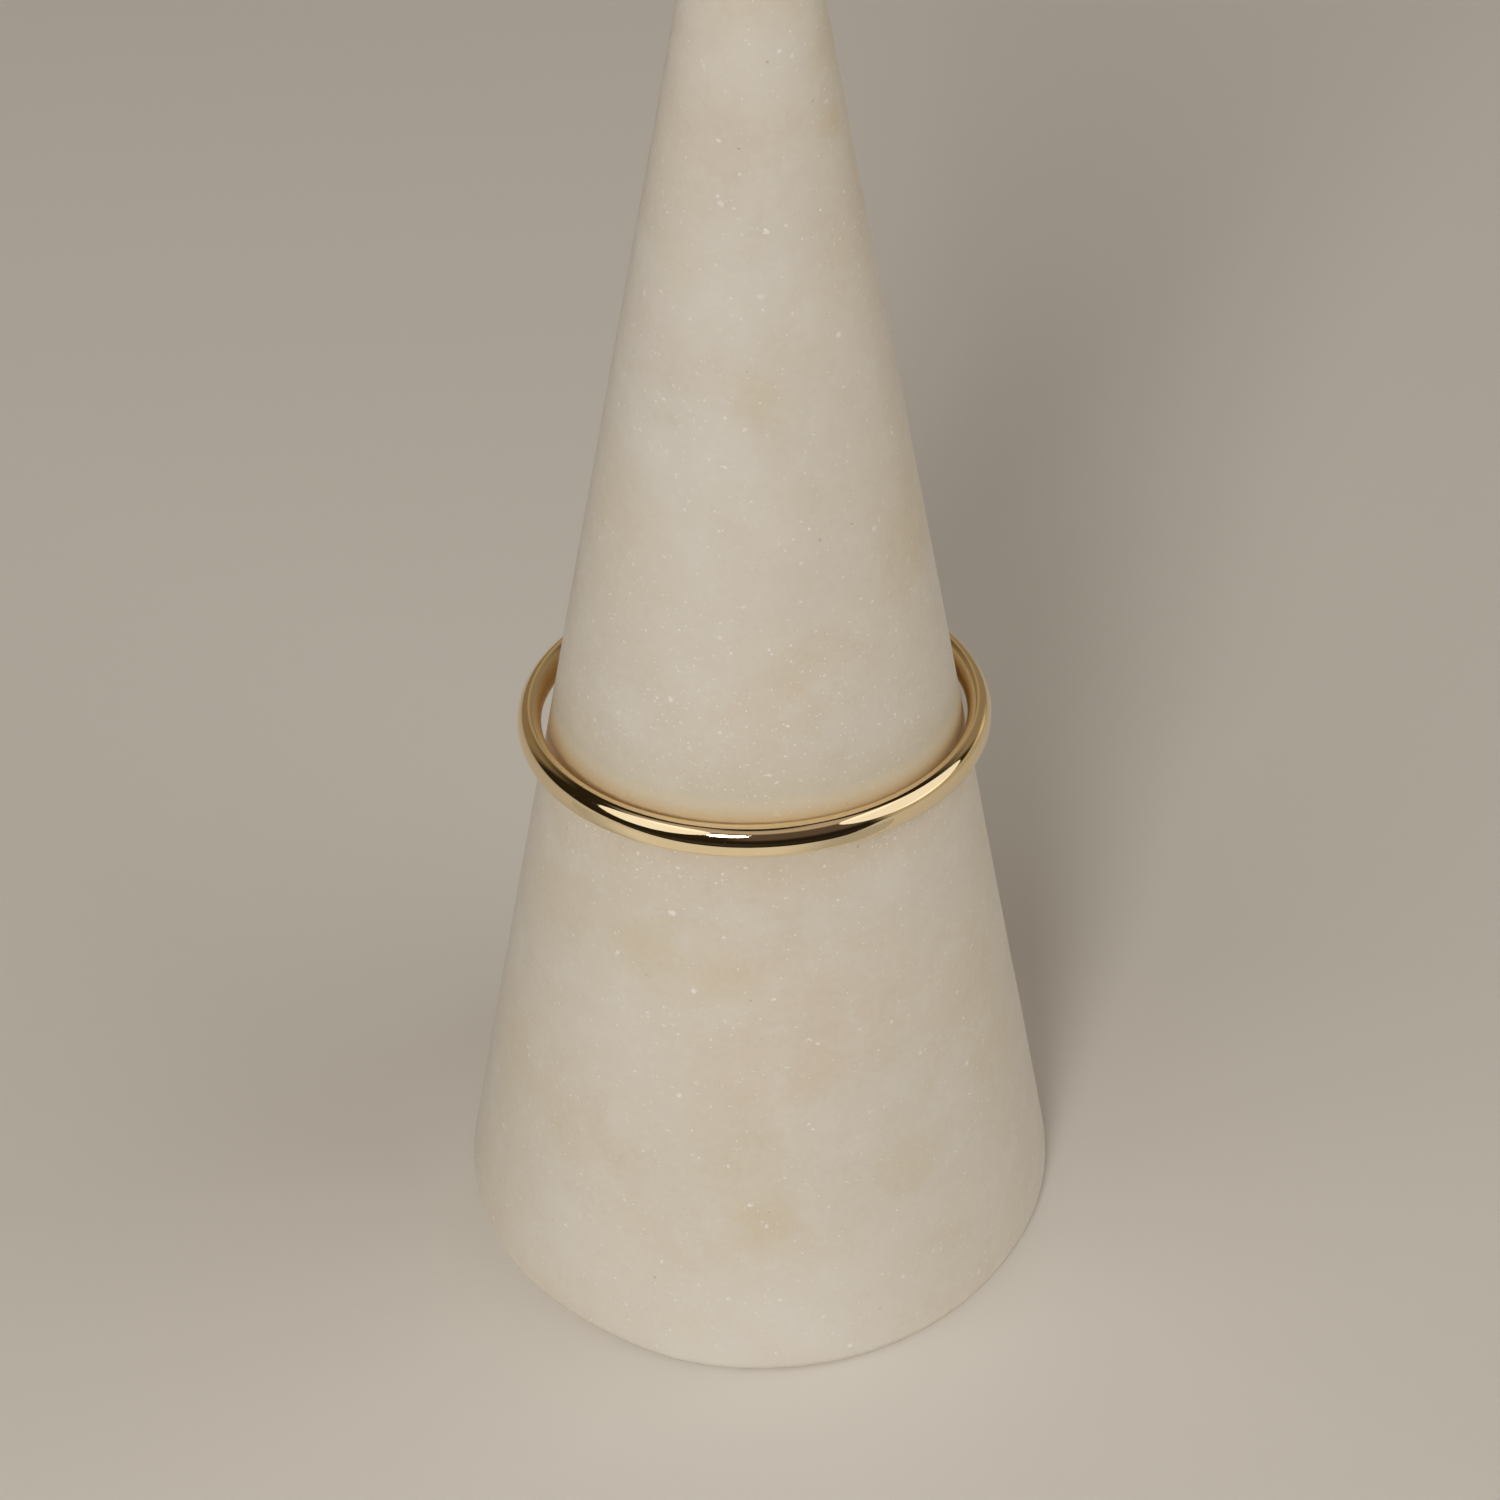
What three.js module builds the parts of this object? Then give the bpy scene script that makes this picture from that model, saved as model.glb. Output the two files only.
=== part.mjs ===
// A slim polished gold ring resting on a plain marble ring cone.
//
// Millimetres, +Z up. The origin is the centre of the cone's flat base, the
// cone's axis is +Z, and the side that is looked at is -Y. The ring is a full
// hoop that has slid down the cone until it lodged, a little askew.
import * as THREE from 'three';

// ---- driving dimensions -------------------------------------------------

// ring cone
const BASE_RADIUS = 13.0;        // where the straight side would meet the base plane
const APEX_HEIGHT = 78.372;      // where the straight sides would meet
const TIP_RADIUS = 1.65;         // ball radius of the rounded tip
const BASE_EDGE_RADIUS = 0.6;    // softened edge around the flat base
const CONE_SEGMENTS = 96;
const SIDE_STEPS = 8;
const TIP_STEPS = 7;
const EDGE_STEPS = 5;

// ring
const INNER_DIAMETER = 17.48;    // finger size
const BAND_THICKNESS = 1.0;      // radial, from inside to outside
const BAND_WIDTH = 1.434;        // along the finger
const RING_SEGMENTS = 96;
const SECTION_STEPS = 20;

// how the ring lies on the cone
const RING_CENTRE = new THREE.Vector3(-0.089, 0.278, 26.961);
const TILT_BACK_DEG = -9.99;     // about X: the side that is looked at rides higher
const TILT_SIDE_DEG = -1.07;     // about Y: the -X side hangs a little lower

// ---- the ring cone ------------------------------------------------------

// Half of the cone's outline, from the middle of the base up to the tip, as
// (radius, height) points: flat base, edge round, straight side, ball tip.
function coneOutline() {
  const lean = Math.atan(BASE_RADIUS / APEX_HEIGHT);   // side's angle from the axis
  const points = [new THREE.Vector2(0, 0)];

  // edge round, tangent to the base plane and to the side
  const inset = BASE_EDGE_RADIUS / Math.tan((Math.PI / 2 - lean) / 2);
  const edgeX = BASE_RADIUS - inset;
  for (let i = 0; i <= EDGE_STEPS; i += 1) {
    const a = -Math.PI / 2 + (i / EDGE_STEPS) * (Math.PI / 2 + lean);
    points.push(new THREE.Vector2(
      edgeX + BASE_EDGE_RADIUS * Math.cos(a),
      BASE_EDGE_RADIUS + BASE_EDGE_RADIUS * Math.sin(a),
    ));
  }

  // ball tip, tangent to the side
  const ballHeight = APEX_HEIGHT - TIP_RADIUS / Math.sin(lean);
  const tip = [];
  for (let i = 0; i <= TIP_STEPS; i += 1) {
    const a = lean + (i / TIP_STEPS) * (Math.PI / 2 - lean);
    tip.push(new THREE.Vector2(
      i === TIP_STEPS ? 0 : TIP_RADIUS * Math.cos(a),
      ballHeight + TIP_RADIUS * Math.sin(a),
    ));
  }

  // straight side between the two
  const foot = points[points.length - 1];
  for (let i = 1; i < SIDE_STEPS; i += 1) {
    points.push(foot.clone().lerp(tip[0], i / SIDE_STEPS));
  }
  return points.concat(tip);
}

// ---- the ring -----------------------------------------------------------

// Oval section of the band, a closed loop of (radius, height) points.
function bandSection() {
  const middle = INNER_DIAMETER / 2 + BAND_THICKNESS / 2;
  const points = [];
  for (let i = 0; i <= SECTION_STEPS; i += 1) {
    const a = ((i % SECTION_STEPS) / SECTION_STEPS) * 2 * Math.PI;
    points.push(new THREE.Vector2(
      middle + (BAND_THICKNESS / 2) * Math.cos(a),
      (BAND_WIDTH / 2) * Math.sin(a),
    ));
  }
  return points;
}

// ---- materials ----------------------------------------------------------

const marble = new THREE.MeshStandardMaterial({ color: 0xc9bca8, roughness: 0.5, metalness: 0 });
const gold = new THREE.MeshStandardMaterial({ color: 0xd9b273, roughness: 0.12, metalness: 1 });

// ---- assembly -----------------------------------------------------------

const assembly = new THREE.Group();
assembly.name = 'ring_on_ring_cone';

// A turned outline stands along Y, so it is laid over to stand along Z.
const cone = new THREE.Mesh(new THREE.LatheGeometry(coneOutline(), CONE_SEGMENTS), marble);
cone.name = 'ring_cone';
cone.rotation.x = Math.PI / 2;
assembly.add(cone);

const ringSeat = new THREE.Group();
ringSeat.position.copy(RING_CENTRE);
ringSeat.rotation.order = 'YXZ';
ringSeat.rotation.x = THREE.MathUtils.degToRad(TILT_BACK_DEG);
ringSeat.rotation.y = THREE.MathUtils.degToRad(TILT_SIDE_DEG);

const ring = new THREE.Mesh(new THREE.LatheGeometry(bandSection(), RING_SEGMENTS), gold);
ring.name = 'ring_band';
ring.rotation.x = Math.PI / 2;
ringSeat.add(ring);
assembly.add(ringSeat);

export default assembly;
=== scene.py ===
import math

import bpy
import numpy as np
from mathutils import Matrix, Vector


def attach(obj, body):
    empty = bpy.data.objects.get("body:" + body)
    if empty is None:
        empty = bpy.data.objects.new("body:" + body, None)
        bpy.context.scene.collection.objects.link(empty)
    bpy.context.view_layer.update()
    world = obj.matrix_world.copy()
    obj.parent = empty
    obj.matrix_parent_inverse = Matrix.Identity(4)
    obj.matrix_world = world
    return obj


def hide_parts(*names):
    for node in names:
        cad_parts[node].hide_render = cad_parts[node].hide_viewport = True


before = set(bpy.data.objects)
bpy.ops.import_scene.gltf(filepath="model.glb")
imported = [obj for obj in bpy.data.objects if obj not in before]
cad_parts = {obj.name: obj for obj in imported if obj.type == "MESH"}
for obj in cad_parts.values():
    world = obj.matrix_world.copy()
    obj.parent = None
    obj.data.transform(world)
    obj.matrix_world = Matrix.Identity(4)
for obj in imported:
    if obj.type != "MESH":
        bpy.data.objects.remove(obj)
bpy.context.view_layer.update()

MM = 0.001

# ---- sizes, as in the CAD model (millimetres) ---------------------------------------

BASE_RADIUS = 13.0
APEX_HEIGHT = 78.372
TIP_RADIUS = 1.65
BASE_EDGE_RADIUS = 0.6

BAND_INNER_RADIUS = 8.74
BAND_THICKNESS = 1.0
BAND_WIDTH = 1.434
RING_CENTRE = (-0.089, 0.278, 26.961)
TILT_BACK = math.radians(-9.99)
TILT_SIDE = math.radians(-1.07)

# ---- camera -------------------------------------------------------------------------

CAM_BACK = 133.796        # in front of the cone's axis
CAM_UP = 154.197          # above the surface it stands on
CAM_PITCH = math.radians(43.9933)
CAM_YAW = math.radians(-0.1185)
CAM_ROLL = math.radians(-0.5123)
FOCAL_PX = 4500.0         # in a frame 1500 px wide
FRAME_PX = 1500.0


def camera_axes():
    cp, sp = math.cos(CAM_PITCH), math.sin(CAM_PITCH)
    forward = Vector((math.sin(CAM_YAW) * cp, math.cos(CAM_YAW) * cp, -sp))
    right = forward.cross(Vector((0, 0, 1))).normalized()
    up = right.cross(forward)
    cr, sr = math.cos(CAM_ROLL), math.sin(CAM_ROLL)
    return cr * right + sr * up, -sr * right + cr * up, forward


def make_camera():
    data = bpy.data.cameras.new("camera")
    data.sensor_fit = "HORIZONTAL"
    data.sensor_width = 36.0
    data.lens = 36.0 * FOCAL_PX / FRAME_PX
    data.clip_start, data.clip_end = 0.005, 20.0
    cam = bpy.data.objects.new("camera", data)
    bpy.context.scene.collection.objects.link(cam)
    right, up, forward = camera_axes()
    m = Matrix((right, up, -forward)).transposed().to_4x4()
    m.translation = Vector((0.0, -CAM_BACK, CAM_UP)) * MM
    cam.matrix_world = m
    bpy.context.scene.camera = cam
    return cam


make_camera()


def spot_on_cone(px, py):
    """The place on the cone's side, in mm, that the camera sees at that place in its frame."""
    right, up, forward = camera_axes()
    d = forward + right * ((px - FRAME_PX / 2) / FOCAL_PX) - up * ((py - FRAME_PX / 2) / FOCAL_PX)
    o = Vector((0.0, -CAM_BACK, CAM_UP))
    k = (BASE_RADIUS / APEX_HEIGHT) ** 2
    a = d.x ** 2 + d.y ** 2 - k * d.z ** 2
    b = 2 * (o.x * d.x + o.y * d.y - k * (o.z - APEX_HEIGHT) * d.z)
    c = o.x ** 2 + o.y ** 2 - k * (o.z - APEX_HEIGHT) ** 2
    s = max(b * b - 4 * a * c, 0.0)
    roots = sorted(((-b - math.sqrt(s)) / (2 * a), (-b + math.sqrt(s)) / (2 * a)))
    for t in roots:
        p = o + d * t
        if t > 0 and -0.5 <= p.z <= APEX_HEIGHT:
            return p
    return o + d * roots[0]


# ---- mesh helpers -------------------------------------------------------------------

def mesh_object(name, verts, faces, uvs):
    me = bpy.data.meshes.new(name)
    me.from_pydata((np.asarray(verts) * MM).tolist(), [], faces)
    layer = me.uv_layers.new(name="OFBake")
    layer.data.foreach_set("uv", np.asarray(uvs, np.float32).ravel())
    me.polygons.foreach_set("use_smooth", [True] * len(me.polygons))
    me.update()
    me.validate()
    ob = bpy.data.objects.new(name, me)
    bpy.context.scene.collection.objects.link(ob)
    return ob


def waves(p, seed, count, short, long):
    """A smooth bumpy field in -1..1 over the points p (mm): plane waves of random direction."""
    rng = np.random.default_rng(seed)
    out = np.zeros(len(p))
    for _ in range(count):
        d = rng.normal(size=3)
        d /= np.linalg.norm(d)
        length = short * (long / short) ** rng.random()
        out += np.sin(p @ d * (2 * np.pi / length) + rng.random() * 2 * np.pi)
    return out / math.sqrt(count) / 1.6


# ---- the ring cone: turned, then hand finished --------------------------------------

CONE_AROUND = 320
SIDE_STEP = 0.36          # mm along the side


def cone_outline():
    lean = math.atan(BASE_RADIUS / APEX_HEIGHT)
    inset = BASE_EDGE_RADIUS / math.tan((math.pi / 2 - lean) / 2)
    edge_x = BASE_RADIUS - inset
    disc = [(r, 0.0) for r in (2.6, 5.2, 7.6, 9.6, 11.0, 11.8)]
    edge = []
    for i in range(11):
        a = -math.pi / 2 + (i / 10) * (math.pi / 2 + lean)
        edge.append((edge_x + BASE_EDGE_RADIUS * math.cos(a), BASE_EDGE_RADIUS * (1 + math.sin(a))))
    ball = APEX_HEIGHT - TIP_RADIUS / math.sin(lean)
    tip = []
    for i in range(16):
        a = lean + (i / 16) * (math.pi / 2 - lean)
        tip.append((TIP_RADIUS * math.cos(a), ball + TIP_RADIUS * math.sin(a)))
    foot, top = np.array(edge[-1]), np.array(tip[0])
    steps = int(round(np.linalg.norm(top - foot) / SIDE_STEP))
    side = [tuple(foot + (top - foot) * i / steps) for i in range(1, steps)]
    return np.array(disc + edge + side + tip), len(disc), ball + TIP_RADIUS


def make_cone():
    rows, n_disc, top_z = cone_outline()
    ang = np.linspace(0, 2 * np.pi, CONE_AROUND, endpoint=False)
    ca, sa = np.cos(ang), np.sin(ang)
    n_rows = len(rows)
    r, z = np.repeat(rows[:, 0], CONE_AROUND), np.repeat(rows[:, 1], CONE_AROUND)
    c, s = np.tile(ca, n_rows), np.tile(sa, n_rows)
    p = np.stack([r * c, r * s, z], 1)

    # How far the hand-finished surface lies inside the turned one, in mm.
    low = 0.020 * (1 + waves(p, 11, 10, 9.0, 26.0))
    mid = 0.006 * (1 + waves(p, 12, 16, 2.2, 5.0))
    fine = 0.0022 * (1 + waves(p, 13, 24, 0.7, 1.4))
    sink = np.clip(low, 0, None) + np.clip(mid, 0, None) + np.clip(fine, 0, None)
    around = np.degrees(np.arctan2(p[:, 0], -p[:, 1]))      # 0 in front, + to the right
    # a flat rubbed on the foot, left of the front, and two smaller ones
    for centre, half, depth, height in ((-36, 20, 0.17, 3.4), (58, 14, 0.05, 2.4), (150, 24, 0.08, 3.0)):
        d = np.abs((around - centre + 180) % 360 - 180) / half
        sink += depth * np.clip(1 - d ** 2, 0, 1) ** 1.5 * np.clip(1 - z / height, 0, 1) ** 1.4
    sink *= np.clip(r / 3.0, 0.25, 1)
    on_base = z < 1e-6
    shrink = np.clip(1 - sink / np.maximum(r, 1e-6), 0, 1)
    p[:, 0] *= shrink
    p[:, 1] *= shrink
    # above 60 mm, towards the tip, the surface also sinks a little lower
    p[~on_base, 2] -= 0.25 * sink[~on_base] * (z[~on_base] > 60)

    verts = np.vstack([p, [[0, 0, 0]], [[0, 0, top_z - 0.004]]])
    i_base, i_top = len(p), len(p) + 1
    faces, uvs = [], []
    # unwrapped: the side as one wide strip, the base as a disc above it
    step = np.r_[0, np.cumsum(np.hypot(*np.diff(rows, axis=0).T))]
    start = step[n_disc]
    v_of = 0.01 + 0.66 * (step - start) / (step[-1] + TIP_RADIUS * 0.1 - start)

    def uv_side(i, k):
        return (0.01 + 0.98 * k / CONE_AROUND, v_of[i])

    def uv_disc(rad, k):
        a = 2 * np.pi * k / CONE_AROUND
        return (0.16 + 0.15 * rad / 13 * math.cos(a), 0.84 + 0.15 * rad / 13 * math.sin(a))

    for k in range(CONE_AROUND):
        k2 = (k + 1) % CONE_AROUND
        faces.append((i_base, k2, k))
        uvs += [uv_disc(0, k), uv_disc(rows[0, 0], k + 1), uv_disc(rows[0, 0], k)]
    for i in range(n_rows - 1):
        a, b = i * CONE_AROUND, (i + 1) * CONE_AROUND
        for k in range(CONE_AROUND):
            k2 = (k + 1) % CONE_AROUND
            faces.append((a + k, a + k2, b + k2, b + k))
            if i < n_disc:
                uvs += [uv_disc(rows[i, 0], k), uv_disc(rows[i, 0], k + 1), uv_disc(rows[i + 1, 0], k + 1), uv_disc(rows[i + 1, 0], k)]
            else:
                uvs += [uv_side(i, k), uv_side(i, k + 1), uv_side(i + 1, k + 1), uv_side(i + 1, k)]
    last = (n_rows - 1) * CONE_AROUND
    for k in range(CONE_AROUND):
        k2 = (k + 1) % CONE_AROUND
        faces.append((last + k, last + k2, i_top))
        uvs += [uv_side(n_rows - 1, k), uv_side(n_rows - 1, k + 1), (0.01 + 0.98 * (k + 0.5) / CONE_AROUND, 0.685)]
    ob = mesh_object("ring_cone_marble", verts, faces, uvs)
    stain(ob, verts)
    return ob


# ---- the ring: a drawn oval wire, closed and polished -------------------------------

RING_AROUND, RING_SECTION = 640, 64


def make_ring():
    phi = np.linspace(0, 2 * np.pi, RING_AROUND, endpoint=False)
    th = np.linspace(0, 2 * np.pi, RING_SECTION, endpoint=False)
    P, T = np.meshgrid(phi, th, indexing="ij")
    middle = BAND_INNER_RADIUS + BAND_THICKNESS / 2
    ct, st = np.cos(T), np.sin(T)
    # hand polishing leaves the wire very slightly uneven
    wob = 0.0016 * np.sin(5 * P + 0.7) + 0.0010 * np.sin(13 * P + 2.1) + 0.0007 * np.sin(29 * P + 1.3 + T)
    rad = middle + (BAND_THICKNESS / 2 - 0.003 + wob) * ct
    hgt = (BAND_WIDTH / 2 - 0.003 + wob) * st
    local = np.stack([rad * np.cos(P), rad * np.sin(P), hgt], -1).reshape(-1, 3)
    turn = Matrix.Rotation(TILT_SIDE, 3, "Y") @ Matrix.Rotation(TILT_BACK, 3, "X")
    verts = local @ np.array(turn).T + np.array(RING_CENTRE)
    faces, uvs = [], []
    for i in range(RING_AROUND):
        i2 = (i + 1) % RING_AROUND
        for k in range(RING_SECTION):
            k2 = (k + 1) % RING_SECTION
            faces.append((i * RING_SECTION + k, i2 * RING_SECTION + k, i2 * RING_SECTION + k2, i * RING_SECTION + k2))
            u0, u1 = 0.005 + 0.99 * i / RING_AROUND, 0.005 + 0.99 * (i + 1) / RING_AROUND
            v0, v1 = 0.005 + 0.99 * k / RING_SECTION, 0.005 + 0.99 * (k + 1) / RING_SECTION
            uvs += [(u0, v0), (u1, v0), (u1, v1), (u0, v1)]
    return mesh_object("ring_band_gold", verts, faces, uvs)


# ---- node helpers -------------------------------------------------------------------

class Tree:
    def __init__(self, tree):
        self.tree = tree
        tree.nodes.clear()

    def node(self, kind, inputs=None, **props):
        n = self.tree.nodes.new(kind)
        for k, v in props.items():
            setattr(n, k, v)
        for k, v in (inputs or {}).items():
            self.put(n.inputs[k], v)
        return n

    def put(self, socket, v):
        if isinstance(v, bpy.types.NodeSocket):
            self.tree.links.new(v, socket)
        elif isinstance(v, bpy.types.Node):
            self.tree.links.new(v.outputs[0], socket)
        else:
            socket.default_value = v

    def math(self, op, a, b=0.0, c=None, clamp=False):
        ins = {0: a, 1: b}
        if c is not None:
            ins[2] = c
        return self.node("ShaderNodeMath", ins, operation=op, use_clamp=clamp).outputs[0]

    def vec(self, op, a, b=None, out=0, scale=None):
        ins = {0: a}
        if b is not None:
            ins[1] = b
        n = self.node("ShaderNodeVectorMath", ins, operation=op)
        if scale is not None:
            self.put(n.inputs["Scale"], scale)
        return n.outputs[out]

    def ramp(self, value, low, high, to=1.0, base=0.0, smooth=True):
        n = self.node("ShaderNodeMapRange", {0: value, 1: low, 2: high, 3: base, 4: to},
                      interpolation_type="SMOOTHSTEP" if smooth else "LINEAR")
        return n.outputs[0]

    def noise(self, coords, scale, detail=2.0, rough=0.5, distort=0.0):
        n = self.node("ShaderNodeTexNoise", {"Vector": coords, "Scale": scale, "Detail": detail,
                                             "Roughness": rough, "Distortion": distort})
        return n.outputs[0]

    def cells(self, coords, scale, feature="F1"):
        return self.node("ShaderNodeTexVoronoi", {"Vector": coords, "Scale": scale}, feature=feature)

    def mix(self, factor, a, b, blend="MIX"):
        n = self.node("ShaderNodeMix", data_type="RGBA", blend_type=blend)
        self.put(n.inputs[0], factor)
        self.put(n.inputs[6], a)
        self.put(n.inputs[7], b)
        return n.outputs[2]


def new_material(name):
    mat = bpy.data.materials.new(name)
    mat.use_nodes = True
    return mat, Tree(mat.node_tree)


def rgb(r, g, b):
    return (r, g, b, 1.0)


# ---- marble -------------------------------------------------------------------------

# Stains and clouds in the stone: place seen in the frame, radius in mm, strength, kind.
CLOUDS = (
    (832, 120, 0.45, 0.90, "ochre"),
    (825, 45, 1.5, 0.20, "ochre"),
    (765, 1222, 1.3, 0.60, "ochre"),
    (722, 982, 1.2, 0.50, "ochre"),
    (742, 1160, 2.4, 0.30, "ochre"),
    (912, 1165, 1.5, 0.45, "ochre"),
    (515, 1060, 2.6, 0.38, "ochre"),
    (912, 530, 2.2, 0.42, "ochre"),
    (762, 405, 1.0, 0.40, "ochre"),
    (1000, 1060, 2.6, 0.30, "ochre"),
    (955, 1230, 1.6, 0.25, "ochre"),
    (645, 962, 1.4, 0.25, "ochre"),
    (690, 140, 1.6, 0.50, "rose"),
    (745, 135, 0.8, 0.35, "rose"),
    (640, 320, 2.0, 0.30, "rose"),
    (825, 1075, 1.6, 0.30, "rose"),
    (600, 510, 1.6, 0.28, "rose"),
    (850, 560, 2.6, 0.20, "rose"),
    (700, 500, 2.8, 0.45, "pale"),
    (735, 60, 2.2, 0.45, "pale"),
    (630, 1010, 3.4, 0.40, "pale"),
    (780, 1340, 4.0, 0.50, "pale"),
    (590, 1250, 3.0, 0.35, "pale"),
    (722, 300, 2.6, 0.55, "pale"),
    (790, 60, 1.6, 0.45, "pale"),
    (700, 640, 2.8, 0.45, "pale"),
    (845, 330, 1.8, 0.35, "pale"),
    (690, 1335, 4.2, 0.60, "pale"),
    (850, 1310, 3.6, 0.50, "pale"),
    (560, 900, 2.6, 0.30, "ochre"),
    (512, 1150, 2.6, 0.22, "ochre"),
    (640, 905, 2.2, 0.22, "ochre"),
    (985, 1000, 2.8, 0.26, "ochre"),
)
# Single crystals whose glint is painted on as a near-white spot: place in the frame and radius in mm.
CRYSTALS = (
    (672, 913, 0.20), (617, 953, 0.17), (700, 908, 0.12), (772, 1000, 0.13), (731, 1035, 0.08),
    (677, 868, 0.13), (738, 970, 0.09), (750, 1206, 0.19), (661, 1263, 0.12), (655, 1283, 0.12),
    (711, 1313, 0.12), (691, 1155, 0.12), (729, 1167, 0.13), (847, 1182, 0.10), (724, 467, 0.13),
    (719, 196, 0.11), (766, 232, 0.14), (679, 671, 0.11), (720, 733, 0.12), (670, 700, 0.15),
    (664, 557, 0.10), (688, 500, 0.09), (810, 1124, 0.11), (630, 1138, 0.08), (642, 1151, 0.08),
    (809, 1040, 0.12), (860, 1030, 0.08), (787, 898, 0.08), (804, 889, 0.09), (700, 540, 0.07),
    (818, 552, 0.08), (843, 577, 0.07), (629, 582, 0.08), (629, 594, 0.08), (788, 727, 0.09),
    (853, 642, 0.07), (747, 765, 0.07), (640, 430, 0.08), (745, 430, 0.09), (595, 830, 0.07),
)


def smooth(v, low, high):
    t = np.clip((v - low) / (high - low), 0, 1)
    return t * t * (3 - 2 * t)


def stain(ob, p):
    """Slow colour changes of the stone, and the places of its larger crystals whose glint is painted on, kept on the
    points of the mesh.
    """
    kinds = {"rose": 0.24 * smooth(waves(p, 22, 26, 4.0, 12.0), 0.35, 1.2),
             "ochre": 0.20 * smooth(waves(p, 23, 26, 3.0, 10.0), 0.40, 1.3),
             "pale": 0.30 * smooth(waves(p, 24, 26, 3.0, 12.0), 0.30, 1.2)}
    torn = p + 0.42 * np.stack([waves(p, 31 + i, 22, 1.2, 5.0) for i in range(3)], 1)
    for px, py, radius, strength, kind in CLOUDS:
        d = np.linalg.norm(torn - np.array(spot_on_cone(px, py)), axis=1)
        kinds[kind] = kinds[kind] + 0.78 * strength * smooth(-d, -radius * 1.8, -radius * 0.1)
    cloud = smooth(waves(p, 21, 24, 6.0, 22.0), -0.7, 0.7)
    swarm = smooth(waves(p, 25, 26, 3.0, 12.0), -0.1, 1.1)
    centre = np.full((len(p), 3), 900.0)
    size = np.zeros(len(p))
    for px, py, radius in CRYSTALS:
        at = np.array(spot_on_cone(px, py))
        near = np.linalg.norm(p - at, axis=1) < 0.62
        centre[near] = at
        size[near] = radius
    for name, data in (("stone_a", np.stack([cloud, np.minimum(kinds["rose"], 0.8), np.minimum(kinds["ochre"], 0.8)], 1)),
                       ("stone_b", np.stack([np.minimum(kinds["pale"], 0.8), swarm, size], 1)),
                       ("crystal", centre)):
        layer = ob.data.attributes.new(name, "FLOAT_VECTOR", "POINT")
        layer.data.foreach_set("vector", np.asarray(data, np.float32).ravel())


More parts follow.
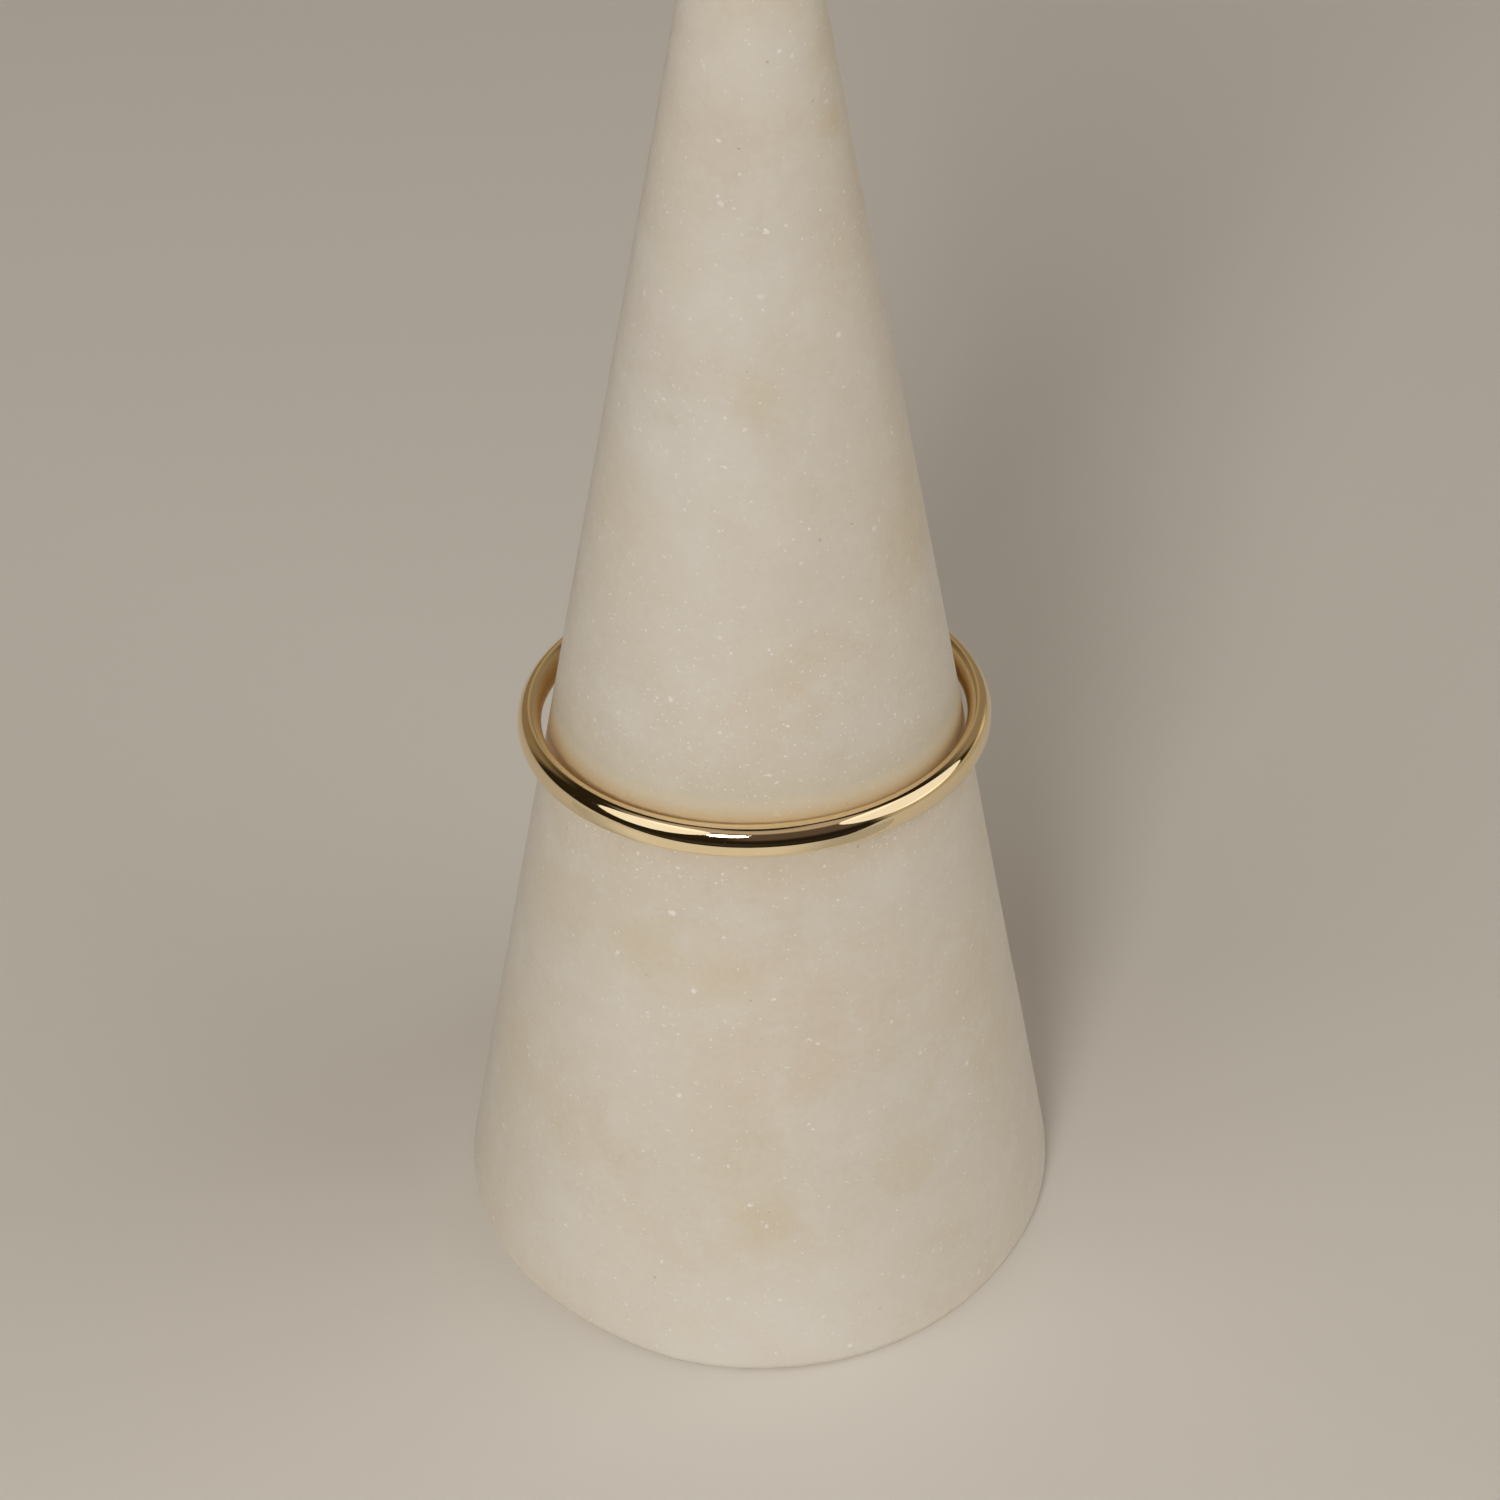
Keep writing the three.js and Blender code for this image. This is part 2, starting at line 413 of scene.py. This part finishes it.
def marble_material():
    mat, t = new_material("marble")
    place = t.node("ShaderNodeTexCoord").outputs["Object"]
    mm = t.vec("SCALE", place, scale=1000.0)
    height_mm = t.node("ShaderNodeSeparateXYZ", {0: mm}).outputs[2]
    cloud, rose, ochre = t.node("ShaderNodeSeparateXYZ", {0: t.node("ShaderNodeAttribute", attribute_name="stone_a").outputs["Vector"]}).outputs
    pale, swarm, crystal_size = t.node("ShaderNodeSeparateXYZ", {0: t.node("ShaderNodeAttribute", attribute_name="stone_b").outputs["Vector"]}).outputs
    crystal_at = t.node("ShaderNodeAttribute", attribute_name="crystal").outputs["Vector"]

    # cool grey-white against warm cream, faint rose, ochre and pale staining
    col = t.mix(cloud, rgb(0.770, 0.698, 0.585), rgb(0.775, 0.730, 0.648))
    mottle = t.noise(mm, 0.62, 3.0, 0.62)
    col = t.mix(t.ramp(mottle, 0.50, 0.72, to=0.34), col, rgb(0.712, 0.634, 0.508))
    col = t.mix(t.ramp(mottle, 0.50, 0.30, to=0.34), col, rgb(0.840, 0.812, 0.742))
    col = t.mix(pale, col, rgb(0.842, 0.818, 0.758))
    col = t.mix(rose, col, rgb(0.748, 0.645, 0.552))
    col = t.mix(ochre, col, rgb(0.715, 0.612, 0.398))

    # sugary grain of the crystals
    grain = t.cells(mm, 4.2)
    grain_tone = t.node("ShaderNodeSeparateColor", {0: grain.outputs["Color"]}).outputs[0]
    col = t.mix(t.math("MULTIPLY", grain_tone, 0.13), col, rgb(0.92, 0.89, 0.82))

    # flecks: small crystals lying flat to the surface, in loose swarms, more where rings rub; they are a little
    # smoother, and their glint is a painted highlight in near-white colour
    rubbed = t.math("MULTIPLY", t.ramp(height_mm, 23.5, 27.0), t.ramp(height_mm, 42.0, 31.0))
    jitter = t.node("ShaderNodeTexNoise", {"Vector": mm, "Scale": 6.0, "Detail": 1.0}).outputs[1]
    bent = t.vec("ADD", mm, t.vec("SCALE", jitter, scale=0.17))
    glint_flecks = None
    for scale, size, share, gain, rub in ((1.4, 0.120, 0.955, 1.0, 0.06), (3.2, 0.074, 0.950, 0.95, 0.10), (7.0, 0.050, 0.950, 0.95, 0.15)):
        v = t.cells(t.vec("ADD", bent, (scale * 13.0, scale * 7.0, 0.0)), scale)
        pick = t.node("ShaderNodeSeparateColor", {0: v.outputs["Color"]})
        odds = t.math("ADD", pick.outputs[0], t.math("ADD", t.math("MULTIPLY", swarm, 0.07), t.math("MULTIPLY", rubbed, rub)))
        keep = t.math("GREATER_THAN", odds, share)
        # distances in the pattern are counted in cells
        wide = t.math("MULTIPLY_ADD", pick.outputs[1], size * scale, size * scale * 0.55)
        edge = t.math("SUBTRACT", 1.0, t.math("DIVIDE", v.outputs["Distance"], wide))
        f = t.math("MULTIPLY", t.math("MULTIPLY", t.ramp(edge, 0.0, 0.6), keep), t.math("MULTIPLY_ADD", pick.outputs[2], gain * 0.6, gain * 0.4))
        glint_flecks = f if glint_flecks is None else t.math("MAXIMUM", glint_flecks, f)
    ragged = t.vec("ADD", mm, t.vec("SCALE", t.vec("SUBTRACT", jitter, (0.5, 0.5, 0.5)), scale=0.30))
    d = t.vec("DISTANCE", ragged, crystal_at, out="Value")
    crystal_glint = t.ramp(t.math("DIVIDE", d, t.math("MAXIMUM", crystal_size, 0.001)), 1.0, 0.35)
    glint_flecks = t.math("MAXIMUM", glint_flecks, crystal_glint)
    # painted highlight: the flecks and larger crystals are coloured near white to stand for their glint
    col = t.mix(glint_flecks, col, rgb(1.0, 0.985, 0.950))
    # pin-sized dark inclusions
    pits = t.cells(t.vec("ADD", bent, (3.0, 19.0, 5.0)), 0.9)
    pit_pick = t.node("ShaderNodeSeparateColor", {0: pits.outputs["Color"]}).outputs[2]
    pit = t.math("MULTIPLY", t.ramp(pits.outputs["Distance"], 0.07, 0.03), t.math("GREATER_THAN", pit_pick, 0.72))
    col = t.mix(t.math("MULTIPLY", pit, 0.40), col, rgb(0.36, 0.29, 0.20))

    rest = col
    # painted shade and painted gold-reflected light on the stone along the line of the ring: darker round it,
    # gold-tinted next to it, lighter over the contact seam above it
    turn = Matrix.Rotation(TILT_SIDE, 3, "Y") @ Matrix.Rotation(TILT_BACK, 3, "X")
    beside = t.vec("DOT_PRODUCT", t.vec("SUBTRACT", mm, RING_CENTRE), tuple(turn @ Vector((0, 0, 1))), out="Value")
    # painted shade, warm as from light off the gold: the stone is darkened from 4.6 mm below the ring to 4.6 mm above
    # it
    painted_shade_halo = t.ramp(beside, -4.6, -0.8)
    col = t.mix(painted_shade_halo, col, t.mix(t.ramp(beside, -0.2, 0.6), rgb(0.980, 0.935, 0.865), rgb(0.940, 0.925, 0.850)), blend="MULTIPLY")
    col = t.mix(t.ramp(beside, 0.8, 4.6), col, rest)
    # painted gold-reflected light and shade: a strong gold tint on the stone within about a millimetre of the ring
    near = t.ramp(t.math("ABSOLUTE", t.math("ADD", beside, 0.10)), 1.20, 0.70)
    col = t.mix(near, col, rgb(0.960, 0.800, 0.560), blend="MULTIPLY")
    # painted light: a lighter warm colour laid over the contact shadow just above the ring
    painted_seam_light = t.ramp(t.math("ABSOLUTE", t.math("SUBTRACT", beside, 0.95)), 0.85, 0.10)
    col = t.mix(t.math("MULTIPLY", painted_seam_light, 0.50), col, rgb(0.90, 0.79, 0.585))

    # fine relief: the honed skin
    bump = t.node("ShaderNodeBump", {"Strength": 0.6, "Distance": 0.001,
                                     "Height": t.math("MULTIPLY", t.noise(mm, 2.2, 2.0, 0.6), 0.009)})
    rough = t.math("SUBTRACT", 0.46, t.math("MULTIPLY", glint_flecks, 0.22))

    shader = t.node("ShaderNodeBsdfPrincipled", {
        "Base Color": col, "Roughness": rough, "Normal": bump,
        "IOR": 1.49, "Subsurface Weight": 0.22, "Subsurface Scale": 0.0013,
    })
    shader.inputs["Subsurface Radius"].default_value = (1.0, 0.82, 0.62)
    out = t.node("ShaderNodeOutputMaterial")
    t.tree.links.new(shader.outputs[0], out.inputs[0])
    return mat


# ---- gold ---------------------------------------------------------------------------

def gold_material():
    mat, t = new_material("gold")
    place = t.node("ShaderNodeTexCoord").outputs["Object"]
    mm = t.vec("SCALE", place, scale=1000.0)
    # polishing marks run along the wire, so the pattern is stretched round the hoop
    turn = Matrix.Rotation(TILT_SIDE, 3, "Y") @ Matrix.Rotation(TILT_BACK, 3, "X")
    e = turn.inverted().to_euler()
    local = t.node("ShaderNodeMapping", {"Vector": t.vec("SUBTRACT", mm, RING_CENTRE), "Rotation": tuple(e)}).outputs[0]
    xyz = t.node("ShaderNodeSeparateXYZ", {0: local})
    around = t.math("ARCTAN2", xyz.outputs[1], xyz.outputs[0])
    radius = t.math("SQRT", t.math("ADD", t.math("MULTIPLY", xyz.outputs[0], xyz.outputs[0]),
                                   t.math("MULTIPLY", xyz.outputs[1], xyz.outputs[1])))
    hoop = t.node("ShaderNodeCombineXYZ", {0: t.math("MULTIPLY", t.math("COSINE", around), 9.2 * 0.35),
                                           1: t.math("ADD", t.math("MULTIPLY", radius, 9.0), t.math("MULTIPLY", t.math("SINE", around), 9.2 * 0.35)),
                                           2: t.math("MULTIPLY", xyz.outputs[2], 9.0)})
    marks = t.noise(hoop.outputs[0], 2.4, 3.0, 0.6)
    hair = t.ramp(t.noise(t.vec("ADD", hoop.outputs[0], (5.0, 2.0, 8.0)), 3.4, 2.0, 0.5), 0.66, 0.72)
    dust = t.cells(mm, 5.5)
    dust_pick = t.node("ShaderNodeSeparateColor", {0: dust.outputs["Color"]})
    dust_on = t.math("MULTIPLY", t.ramp(dust.outputs["Distance"], 0.09, 0.04),
                     t.math("GREATER_THAN", dust_pick.outputs[0], 0.90))
    wear = t.noise(mm, 0.55, 3.0, 0.6)
    col = t.mix(t.ramp(wear, 0.35, 0.70), rgb(0.975, 0.805, 0.530), rgb(0.960, 0.780, 0.490))
    rough = t.math("ADD", t.ramp(wear, 0.3, 0.75, base=0.030, to=0.055), t.math("MULTIPLY", hair, 0.05))
    rough = t.math("ADD", rough, t.math("MULTIPLY", dust_on, 0.35))
    height = t.math("ADD", t.math("MULTIPLY", marks, 0.00035), t.math("MULTIPLY", t.noise(mm, 0.8, 2.0, 0.5), 0.0022))
    height = t.math("SUBTRACT", height, t.math("MULTIPLY", hair, 0.00022))
    height = t.math("ADD", height, t.math("MULTIPLY", dust_on, 0.0010))
    bump = t.node("ShaderNodeBump", {"Strength": 0.5, "Distance": 0.001, "Height": height})
    shader = t.node("ShaderNodeBsdfPrincipled", {"Base Color": col, "Roughness": rough, "Metallic": 1.0, "Normal": bump})
    out = t.node("ShaderNodeOutputMaterial")
    t.tree.links.new(shader.outputs[0], out.inputs[0])
    return mat


# ---- build --------------------------------------------------------------------------

cone = make_cone()
cone.data.materials.append(marble_material())
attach(cone, "root")
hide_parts("ring_cone")

ring = make_ring()
ring.data.materials.append(gold_material())
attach(ring, "root")
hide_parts("ring_band")

# ---- studio -------------------------------------------------------------------------


def make_floor():
    half = 1.6
    me = bpy.data.meshes.new("floor")
    me.from_pydata([(-half, -half, 0), (half, -half, 0), (half, half, 0), (-half, half, 0)], [], [(0, 1, 2, 3)])
    ob = bpy.data.objects.new("floor", me)
    bpy.context.scene.collection.objects.link(ob)
    mat, t = new_material("floor")
    shader = t.node("ShaderNodeBsdfPrincipled", {"Base Color": rgb(0.808, 0.780, 0.726), "Roughness": 0.7})
    # far out the floor melts into the backdrop, so that no horizon is seen
    away = t.vec("LENGTH", t.node("ShaderNodeTexCoord").outputs["Object"], out="Value")
    melt = t.node("ShaderNodeMixShader", {0: t.ramp(away, 0.34, 0.12)})
    t.tree.links.new(t.node("ShaderNodeBsdfTransparent").outputs[0], melt.inputs[1])
    t.tree.links.new(shader.outputs[0], melt.inputs[2])
    out = t.node("ShaderNodeOutputMaterial")
    t.tree.links.new(melt.outputs[0], out.inputs[0])
    me.materials.append(mat)
    return ob


def toward(azimuth, elevation):
    """Unit vector from the object; azimuth 0 is the front (-Y), + to the right."""
    a, e = math.radians(azimuth), math.radians(elevation)
    return Vector((math.sin(a) * math.cos(e), -math.cos(a) * math.cos(e), math.sin(e)))


AIM = Vector((0, 0, 27 * MM))


def soft_box(name, azimuth, elevation, distance, width, height, radiance, colour, roll=0.0):
    """A round-cornered lamp that faces the ring; radiance is what a mirror shows of it."""
    data = bpy.data.lights.new(name, "AREA")
    data.shape = "ELLIPSE"
    data.size, data.size_y = width, height
    data.energy = radiance * math.pi * (math.pi / 4) * width * height
    data.color = colour
    ob = bpy.data.objects.new(name, data)
    bpy.context.scene.collection.objects.link(ob)
    d = toward(azimuth, elevation)
    ob.location = AIM + d * distance
    q = d.to_track_quat("Z", "Y")
    ob.rotation_mode = "QUATERNION"
    ob.rotation_quaternion = q @ Matrix.Rotation(roll, 3, "Z").to_quaternion()
    ob.visible_camera = False
    return ob


def make_flag():
    """A black card low in front that only the mirror-like gold sees."""
    me = bpy.data.meshes.new("flag")
    # azimuth in degrees and distance in mm along its near edge, then round behind the camera
    near = ((-115, 330), (-100, 330), (-80, 215), (-60, 146), (-45, 98), (-30, 80), (-10, 73), (12, 73),
            (38, 75), (45, 98), (52, 165), (60, 540), (45, 1450), (0, 1500), (-45, 1500), (-90, 1500), (-115, 1500))
    rim = [(d * math.sin(math.radians(a)), -d * math.cos(math.radians(a))) for a, d in near]
    me.from_pydata([(x * MM, y * MM, 0.8 * MM) for x, y in rim], [], [tuple(range(len(rim)))])
    ob = bpy.data.objects.new("flag", me)
    bpy.context.scene.collection.objects.link(ob)
    mat, t = new_material("flag")
    shader = t.node("ShaderNodeBsdfPrincipled", {"Base Color": rgb(0.02, 0.015, 0.01), "Roughness": 0.8, "Specular IOR Level": 0.1})
    out = t.node("ShaderNodeOutputMaterial")
    t.tree.links.new(shader.outputs[0], out.inputs[0])
    me.materials.append(mat)
    ob.visible_camera = False
    ob.visible_diffuse = False
    ob.visible_shadow = False


def make_card():
    """A glowing card round the front of the foot that only the mirror-like gold sees."""
    near, far, first, last = 14.5, 84.0, -84, 60
    turns = range(first, last + 1, 6)
    verts = [(d * math.sin(math.radians(a)) * MM, -d * math.cos(math.radians(a)) * MM, 0.4 * MM) for a in turns for d in (near, far)]
    faces = [(2 * i, 2 * i + 1, 2 * i + 3, 2 * i + 2) for i in range(len(turns) - 1)]
    me = bpy.data.meshes.new("card")
    me.from_pydata(verts, [], faces)
    ob = bpy.data.objects.new("card", me)
    bpy.context.scene.collection.objects.link(ob)
    mat, t = new_material("card")
    x, y, _ = t.node("ShaderNodeSeparateXYZ", {0: t.node("ShaderNodeTexCoord").outputs["Object"]}).outputs
    turn = t.math("MULTIPLY", t.math("ARCTAN2", x, t.math("MULTIPLY", y, -1.0)), 180.0 / math.pi)
    glow = t.math("MULTIPLY_ADD", t.math("MULTIPLY", t.ramp(turn, -80.0, -50.0), t.ramp(turn, 38.0, 8.0)), 0.26, 0.38)
    shader = t.node("ShaderNodeEmission", {0: rgb(1.0, 0.93, 0.82), 1: glow})
    out = t.node("ShaderNodeOutputMaterial")
    t.tree.links.new(shader.outputs[0], out.inputs[0])
    me.materials.append(mat)
    ob.visible_camera = False
    ob.visible_diffuse = False
    ob.visible_shadow = False


SOFT = (1.0, 0.965, 0.92)
make_floor()
make_flag()
make_card()
soft_box("key", -57.0, 36.0, 0.42, 0.385, 0.385, 0.935, (1.0, 0.97, 0.93))
soft_box("side", 82.5, 31.5, 0.42, 0.525, 0.460, 0.885, (1.0, 0.97, 0.94))
soft_box("main", -15.5, 35.9, 0.45, 0.134, 0.098, 22.8, SOFT)


def make_world():
    world = bpy.data.worlds.new("studio")
    bpy.context.scene.world = world
    world.use_nodes = True
    t = Tree(world.node_tree)
    ray = t.vec("NORMALIZE", t.node("ShaderNodeTexCoord").outputs["Generated"])
    x, y, z = t.node("ShaderNodeSeparateXYZ", {0: ray}).outputs
    deg = 180.0 / math.pi
    front = t.math("MULTIPLY", t.math("ARCTAN2", x, t.math("MULTIPLY", y, -1.0)), deg)
    behind = t.math("MULTIPLY", t.math("ARCTAN2", x, y), deg)
    rise = t.math("MULTIPLY", t.math("ARCSINE", z), deg)
    total = t.node("ShaderNodeCombineXYZ", {0: 0.020, 1: 0.014, 2: 0.007}).outputs[0]
    # what the ring mirrors beside the lights
    rooms = (
        # round from, azimuth: centre, full, gone; elevation: centre, full, gone; colour
        (behind, 22, 24, 40, 13, 14, 30, (0.22, 0.175, 0.12)),
        (behind, -30, 20, 40, 8, 12, 34, (0.19, 0.145, 0.085)),
        (front, 98, 32, 48, 0, 5, 11, (0.39, 0.33, 0.22)),
        (front, 22, 24, 40, 36, 18, 30, (0.073, 0.055, 0.048)),
        (front, 0, 95, 132, 65, 8, 20, (0.385, 0.32, 0.27)),
    )
    for around, az, full, gone, el, el_full, el_gone, colour in rooms:
        across = t.math("ABSOLUTE", t.math("SUBTRACT", around, float(az)))
        updown = t.math("ABSOLUTE", t.math("SUBTRACT", rise, float(el)))
        m = t.math("MULTIPLY", t.ramp(across, gone, full), t.ramp(updown, el_gone, el_full))
        total = t.vec("ADD", total, t.vec("SCALE", colour, scale=m))
    seen = t.node("ShaderNodeBackground", {0: rgb(0.415, 0.382, 0.332), 1: 1.0})
    lit = t.node("ShaderNodeBackground", {0: total, 1: 1.0})
    path = t.node("ShaderNodeLightPath")
    both = t.node("ShaderNodeMixShader", {0: path.outputs["Is Camera Ray"]})
    t.tree.links.new(lit.outputs[0], both.inputs[1])
    t.tree.links.new(seen.outputs[0], both.inputs[2])
    out = t.node("ShaderNodeOutputWorld")
    t.tree.links.new(both.outputs[0], out.inputs[0])


make_world()

scene = bpy.context.scene
scene.view_settings.view_transform = "Standard"
scene.view_settings.look = "None"
scene.view_settings.exposure = 0.0
scene.view_settings.gamma = 1.0
